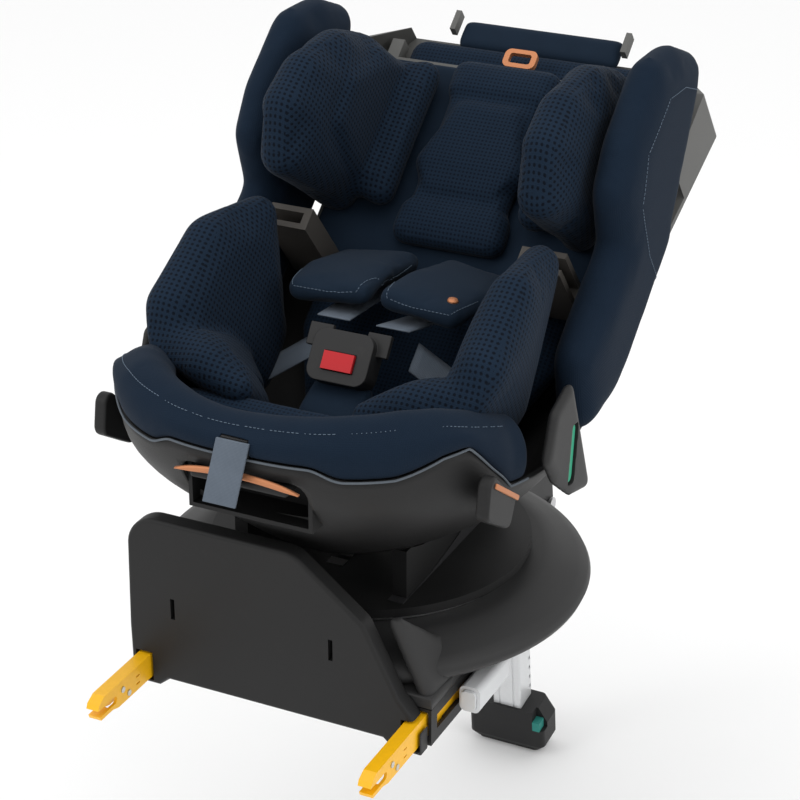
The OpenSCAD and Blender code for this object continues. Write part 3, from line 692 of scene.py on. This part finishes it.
knit.links.new(holes_scale.outputs[0], cells.inputs["Vector"])
eyelet = math_node(knit, "MULTIPLY", k_in.outputs["Eyelets"], math_node(
    knit, "SMOOTH_MIN", 1.0, math_node(knit, "MULTIPLY_ADD", cells.outputs["Distance"], -6.0, 2.1),
    0.1), clamp=True)
tone = mix_colour(knit, math_node(knit, "MULTIPLY_ADD", loops, 0.35, 0.1), k_in.outputs["Colour"],
                  (0.012, 0.024, 0.044, 1))
tone = mix_colour(knit, math_node(knit, "MULTIPLY", fuzz, 0.3), tone, (0.003, 0.006, 0.011, 1))
tone = mix_colour(knit, math_node(knit, "MULTIPLY", eyelet, 0.85), tone, (0.002, 0.003, 0.006, 1))
knit.links.new(tone, k_out.inputs["Colour"])
knit.links.new(math_node(knit, "MULTIPLY_ADD", loops, 0.1, 0.82), k_out.inputs["Roughness"])
knit.links.new(math_node(knit, "SUBTRACT", loops, math_node(knit, "MULTIPLY", eyelet, 2.5)),
               k_out.inputs["Height"])


def fabric(name, colour, turn, eyelets=0.0, stitch=0.0017, pitch=0.0052):
    mat, tree, shader = principled(name)
    g = tree.nodes.new("ShaderNodeGroup")
    g.node_tree = knit
    g.inputs["Colour"].default_value = (*colour, 1)
    g.inputs["Stitch size"].default_value = stitch
    g.inputs["Eyelets"].default_value = eyelets
    g.inputs["Eyelet pitch"].default_value = pitch
    tree.links.new(object_coords(tree, turn), g.inputs["Vector"])
    tex = tree.nodes.new("ShaderNodeTexCoord")
    spun = tree.nodes.new("ShaderNodeMapping")
    spun.inputs["Rotation"].default_value = turn
    tree.links.new(tex.outputs["Normal"], spun.inputs["Vector"])
    tree.links.new(spun.outputs["Vector"], g.inputs["Facing"])
    tree.links.new(g.outputs["Colour"], shader.inputs["Base Color"])
    tree.links.new(g.outputs["Roughness"], shader.inputs["Roughness"])
    shader.inputs["Sheen Weight"].default_value = 0.03
    shader.inputs["Sheen Roughness"].default_value = 0.4
    shader.inputs["Specular IOR Level"].default_value = 0.08
    bumped(tree, shader, g.outputs["Height"], 0.35, 0.0005)
    return mat


# turn that lines the patterns up with the backrest
ALONG_BACK = (math.radians(50), 0, 0)
NAVY = (0.0058, 0.0125, 0.0245)
EYELET_NAVY = (0.0085, 0.0180, 0.0345)
cover_knit = fabric("cover_knit_front", NAVY, (math.radians(90), 0, 0))
wing_knit = fabric("cover_knit_side", NAVY, ALONG_BACK)
side_eyelet_knit = fabric("inlay_knit_side", EYELET_NAVY, ALONG_BACK, 1.0)
flat_eyelet_knit = fabric("inlay_knit_flat", EYELET_NAVY, ALONG_BACK, 0.8, pitch=0.0042)
jersey = fabric("pad_jersey", (0.0090, 0.0170, 0.0300), ALONG_BACK, 0.0, 0.0011)


def swell(ob, limit, frames=14, pressure=4.0):
    """Blows the closed cover up over its foam, then caps how far each point moved."""
    start = [v.co.copy() for v in ob.data.vertices]
    mod = ob.modifiers.new("cloth", "CLOTH")
    cloth = mod.settings
    cloth.use_pressure = True
    cloth.uniform_pressure_force = pressure
    cloth.effector_weights.gravity = 0
    cloth.tension_stiffness = cloth.compression_stiffness = 12
    mod.point_cache.frame_start, mod.point_cache.frame_end = 1, frames
    scene = bpy.context.scene
    for frame_no in range(1, frames + 1):
        scene.frame_set(frame_no)
    apply_modifiers(ob)
    scene.frame_set(1)
    for v, co in zip(ob.data.vertices, start):
        step = v.co - co
        if step.length > limit / 1000:
            v.co = co + step * (limit / 1000 / step.length)


def stuffed(name, groups, material, body, stands_for=(), voxel=5, limit=7,
            smooth_steps=6, sim=True):
    ob = lumps(name, groups, voxel, material, smooth_steps)
    if sim:
        swell(ob, limit)
    mod = ob.modifiers.new("round", "SUBSURF")
    mod.levels = mod.render_levels = 1
    apply_modifiers(ob)
    for f in ob.data.polygons:
        f.use_smooth = True
    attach(ob, body)
    if stands_for:
        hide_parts(*stands_for)
    return ob


# Seat cover: a padded apron that wraps the front edge and both front corners,
# sewn to a piped edge that clips over the shell's rim.
def top_height(y):
    """Height in mm of the apron's top at a place along the seat."""
    return blend_steps([(-300, 334), (-255, 337), (-215, 339), (-185, 334), (-120, 311), (-78, 293),
                        (-20, 286)], y)[0]


def stitches(name, target, path, material, body, dash=2.6, gap=1.5, thick=0.36):
    """A row of short threads laid on the target's surface along a path of places."""
    tree = BVHTree.FromPolygons([v.co for v in target.data.vertices],
                                [p.vertices[:] for p in target.data.polygons])
    bm = bmesh.new()
    left = 0.0
    for a, b in zip(path, path[1:]):
        along, length = (b - a).normalized(), (b - a).length
        while left < length:
            ends = [tree.find_nearest(a + along * min(left + d, length)) for d in (0, dash / 1000)]
            one, two = (hit[0] + hit[1] * (thick * 0.9 / 1000) for hit in ends)
            if (two - one).length > 0.0008:
                turn = (two - one).to_track_quat("Z", "Y").to_matrix().to_4x4()
                bmesh.ops.create_cone(bm, cap_ends=True, segments=6, radius1=thick / 1000,
                                      radius2=thick / 1000, depth=(two - one).length,
                                      matrix=Matrix.Translation((one + two) / 2) @ turn)
            left += (dash + gap) / 1000
        left -= length
    ob = make_object(name, bm, material)
    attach(ob, body)
    return ob


def apron_angles(steps):
    a0, a1 = math.radians(180 + 14), math.radians(360 - 14)
    return [a0 + (a1 - a0) * i / steps for i in range(steps + 1)]


bm = bmesh.new()
rings = []
for a in apron_angles(72):
    low = rim_at(a) + 1
    edge = Vector((*shell_point(a, low), 0))
    inward = -Vector((edge.x / 1.0, edge.y + 20, 0)).normalized()
    top = top_height(edge.y)
    dip = -9 * math.exp(-((edge.x + 20) / 80) ** 2) if edge.y < -150 else 0
    top += dip
    ring = []
    for o, z in ((1, low), (-3, low + (top - low) * 0.28), (-2, low + (top - low) * 0.6),
                 (6, top - 9), (16, top - 1.5), (30, top + 0.5), (44, top - 7), (54, top - 22),
                 (58, low + (top - low) * 0.2), (52, low - 18), (30, low - 12), (8, low + 1)):
        ring.append(tuple(edge + inward * o + Vector((0, 0, z))))
    rings.append(ring)
made = loft(bm, rings)
bm.faces.new(list(reversed(made[0])))
bm.faces.new(made[-1])
bmesh.ops.recalc_face_normals(bm, faces=bm.faces)
apron = make_object("seat_cover_apron", bm, cover_knit)
mod = apron.modifiers.new("round", "SUBSURF")
mod.levels = mod.render_levels = 2
apply_modifiers(apron)
low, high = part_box("adjuster_button")
cut_away(apron, [((low + high) / 2 + Vector((0, 0.0015, 0)),
                  tuple((high - low) * 1000 + Vector((2, 8, 2))), 1)])
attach(apron, "seat")
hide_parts("seat_cover")


def tube(name, points, radius, material):
    curve = bpy.data.curves.new(name, "CURVE")
    curve.dimensions, curve.bevel_depth, curve.bevel_resolution = "3D", radius / 1000, 3
    curve.use_fill_caps = True
    spline = curve.splines.new("POLY")
    spline.points.add(len(points) - 1)
    for sp, place in zip(spline.points, points):
        sp.co = (*place, 1)
    temp = bpy.data.objects.new(name + "_curve", curve)
    bpy.context.collection.objects.link(temp)
    mesh = bpy.data.meshes.new_from_object(
        temp.evaluated_get(bpy.context.evaluated_depsgraph_get()))
    bpy.data.objects.remove(temp)
    ob = bpy.data.objects.new(name, mesh)
    ob.data.materials.clear()
    ob.data.materials.append(material)
    for f in mesh.polygons:
        f.use_smooth = True
    bpy.context.collection.objects.link(ob)
    return ob


thread = moulded_plastic("blue_grey_thread", (0.10, 0.14, 0.19), 0.0, 0.05)
seam = []
for a in apron_angles(120)[6:-6]:
    x, y = shell_point(a, rim_at(a))
    seam.append(Vector((x * 0.975, y * 0.975, top_height(y) - 6)) / 1000)
stitches("seat_cover_stitching", apron, seam, thread, "seat")
piping_cloth = fabric("piping_cloth", (0.16, 0.18, 0.20), (0, 0, 0), 0.0, 0.0009)
edge_line = []
for a in apron_angles(160):
    low = rim_at(a) + 0.4
    x, y = shell_point(a, low, 0.6)
    edge_line.append(Vector((x, y, low)) / 1000)
piping = tube("seat_cover_piping", edge_line, 1.1, piping_cloth)
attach(piping, "seat")


# Side wings: foam panels in plain knit, deep beside the head and shallow
# beside the body, with a topstitched seam down the outer face.
def both(groups, side):
    return [[(Vector((side * p.x, p.y, p.z)), r) for p, r in g] for g in groups]


WING_HEAD = [(160, 292, 26), (158, 366, 26), (128, 402, 24), (86, 426, 22), (25, 272, 22),
             (104, 226, 20), (148, 250, 24)]
WING_BODY = [(40, 300, 20), (18, 272, 20), (18, 110, 20), (42, 68, 22), (90, 92, 24), (88, 230, 22)]
wing_groups = [[(back(191.5, s, t), (20, r, r)) for t, s, r in outline]
               for outline in (WING_HEAD, WING_BODY)]
wings = {}
for side, label in SIDES:
    wings[label] = stuffed(f"side_wing_cover_{label}", both(wing_groups, side), wing_knit, "seat",
                           (f"side_wing_{label}",), voxel=6, limit=4, smooth_steps=8)

for side, label in SIDES:
    seam = [back(side * 214, s, t) for t, s in
            ((4, 90), (4, 230), (60, 232), (120, 250), (150, 290), (146, 356), (118, 388), (84, 408))]
    stitches(f"side_wing_stitching_{label}", wings[label], seam, thread, "seat")

# Cushions of the seat and the backrest, and the inlay's hip bolsters, which
# turn inwards along the front of the seat.
stuffed("seat_cushion_pad", [
    [(pan(side * x, p, -18), 15) for x, p in ((84, 34), (128, 130), (128, 214)) for side in (-1, 1)]],
    flat_eyelet_knit, "seat", ("seat_cushion",), limit=5)
stuffed("back_cushion_pad", [
    [(back(side * x, s, -8), 16) for x, s in ((92, 40), (126, 120), (126, 460)) for side in (-1, 1)]],
    flat_eyelet_knit, "seat", ("back_cushion",), limit=2)
hip = [
    [(pan(146, 112, 60), 24), (pan(160, 206, 72), 24), (pan(158, 176, 146), 22),
     (pan(146, 106, 192), 19), (pan(128, 52, 88), 16),
     (pan(150, 204, 40), 20), (pan(130, 60, 40), 18)],
    [(pan(150, 204, 40), 20), (pan(104, 216, 26), 20), (pan(96, 120, 14), 14), (pan(146, 112, 50), 22)],
    [(pan(104, 216, 26), 20), (pan(64, 212, 10), 15), (pan(70, 150, 4), 12), (pan(100, 150, 10), 14)],
]
for side, label in SIDES:
    stuffed(f"hip_bolster_pad_{label}", both(hip, side), side_eyelet_knit, "seat",
            (f"hip_bolster_{label}",), limit=4)

# ---------- headrest ----------
# Pillow in three sewn lobes, and on each side a deep outer roll, a slim inner
# roll and a cheek pad, all in eyelet knit over foam.
stuffed("head_pillow", [
    [(back(x, s, 40), 17) for x in (-44, 44) for s in (392, 412)],
    [(back(x, 300, 44), 18) for x in (-46, 46)] + [(back(x, 360, 44), 17) for x in (-26, 26)]
    + [(back(x, 276, 42), 16) for x in (-34, 34)],
    [(back(x, s, 40), 16) for x in (-46, 46) for s in (224, 244)],
    [(back(x, s, 40), 12) for x in (-44, 44) for s in (222, 412)],
], flat_eyelet_knit, "headrest", ("head_cushion",), voxel=4, limit=3, smooth_steps=4)
roll_out = [(132, 46, 250, 22), (132, 46, 392, 22), (135, 172, 216, 23), (135, 204, 252, 23),
            (135, 198, 294, 23), (135, 162, 346, 23), (135, 106, 380, 23)]
roll_in = [(118, 60, 256, 15), (118, 60, 398, 15), (118, 148, 276, 15), (118, 152, 316, 15),
           (118, 112, 376, 15)]
cheek = [(85, 54, 257, 18), (85, 54, 397, 18), (114, 52, 259, 17), (114, 52, 395, 17)]
roll_groups = [[(back(x, s, t), r) for x, t, s, r in g] for g in (roll_out, roll_in, cheek)]
for side, label in SIDES:
    stuffed(f"head_rolls_{label}", both(roll_groups, side), side_eyelet_knit,
            "headrest", (f"head_wing_{label}",), limit=6)

# Fabric that covers the headrest's shell between the pillow and the rolls, and
# the padded bar across the top of the backrest.
stuffed("headrest_cover", [
    [(back(x, s, 25), 4.5) for x in (-150, 150) for s in (180, 426)]], jersey, "headrest",
    voxel=4, limit=1, sim=False)
stuffed("back_top_cover", [
    [(back(x, s, -4), 8) for x in (-84, 84) for s in (478, 498)]], jersey, "seat",
    voxel=4, limit=2, sim=False)

# ---------- harness ----------
# Broad jersey shoulder pads that ride on the straps.
pad_groups = [[(back(24, 180, 56), 12), (back(86, 170, 58), 12), (back(20, 132, 112), 13),
               (back(86, 126, 110), 13)],
              [(back(20, 132, 112), 13), (back(86, 126, 110), 13), (back(16, 98, 144), 12),
               (back(80, 92, 142), 12)]]
pads = {}
for side, label in SIDES:
    pads[label] = stuffed(f"shoulder_pad_{label}", both(pad_groups, side), jersey, "headrest",
                          ("shoulder_pads",) if side < 0 else (), voxel=4, limit=5)
for side, label in SIDES:
    seam = [back(side * x, s, t) for x, s, t in
            ((18, 170, 72), (14, 120, 128), (16, 90, 160), (50, 84, 162), (84, 86, 160), (94, 120, 128))]
    stitches(f"shoulder_pad_stitching_{label}", pads[label], seam, thread, "headrest")
bm = bmesh.new()
tree = BVHTree.FromPolygons([v.co for v in pads["right"].data.vertices],
                            [p.vertices[:] for p in pads["right"].data.polygons])
place, facing = tree.find_nearest(back(78, 110, 150))[:2]
turn = facing.to_track_quat("Z", "Y").to_matrix().to_4x4()
bmesh.ops.create_cone(bm, cap_ends=True, segments=32, radius1=0.0056, radius2=0.0044, depth=0.0022,
                      matrix=Matrix.Translation(place + facing * 0.0008) @ turn)
snap = make_object("shoulder_pad_snap", bm, copper)
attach(snap, "headrest")
stuffed("crotch_pad_cover", [
    [(pan(x, 146, 6), 11) for x in (-22, 22)] + [(pan(x, 132, 34), 10) for x in (-22, 22)]],
    jersey, "seat", ("crotch_pad",), voxel=4, limit=4)

# Harness straps: flat woven bands. The shoulder straps leave the buckle and pass
# under the pads to the guides.
webbing_mat = fabric("webbing_weave", (0.165, 0.195, 0.235), (0, 0, 0), 0.0, 0.0012)
finish_node("adjuster_strap", webbing_mat)


def strap(name, low_edge, high_edge, steps):
    bm = bmesh.new()
    bmesh.ops.create_grid(bm, x_segments=4, y_segments=steps, size=1)
    for v in bm.verts:
        across, along = (v.co.x + 1) / 2, (v.co.y + 1) / 2
        v.co = low_edge[0].lerp(low_edge[1], across).lerp(high_edge[0].lerp(high_edge[1], across),
                                                         along)
    bmesh.ops.solidify(bm, geom=bm.faces[:], thickness=0.0014)
    bmesh.ops.recalc_face_normals(bm, faces=bm.faces)
    ob = make_object(name, bm, webbing_mat)
    return ob


for side, label in SIDES:
    low = (back(side * 14, 66, 150), back(side * 48, 66, 150))
    high = (back(side * 36, 168, 26), back(side * 70, 168, 26))
    shoulder_strap = strap(f"shoulder_strap_{label}", low, high, 32)
    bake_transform(shoulder_strap)
    lap_strap = strap(f"lap_strap_{label}", (back(side * 48, 40, 120), back(side * 48, 70, 120)),
                      (back(side * 116, 20, 70), back(side * 116, 50, 70)), 10)
    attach(lap_strap, "seat")
    if side < 0:
        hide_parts("harness_webbing")
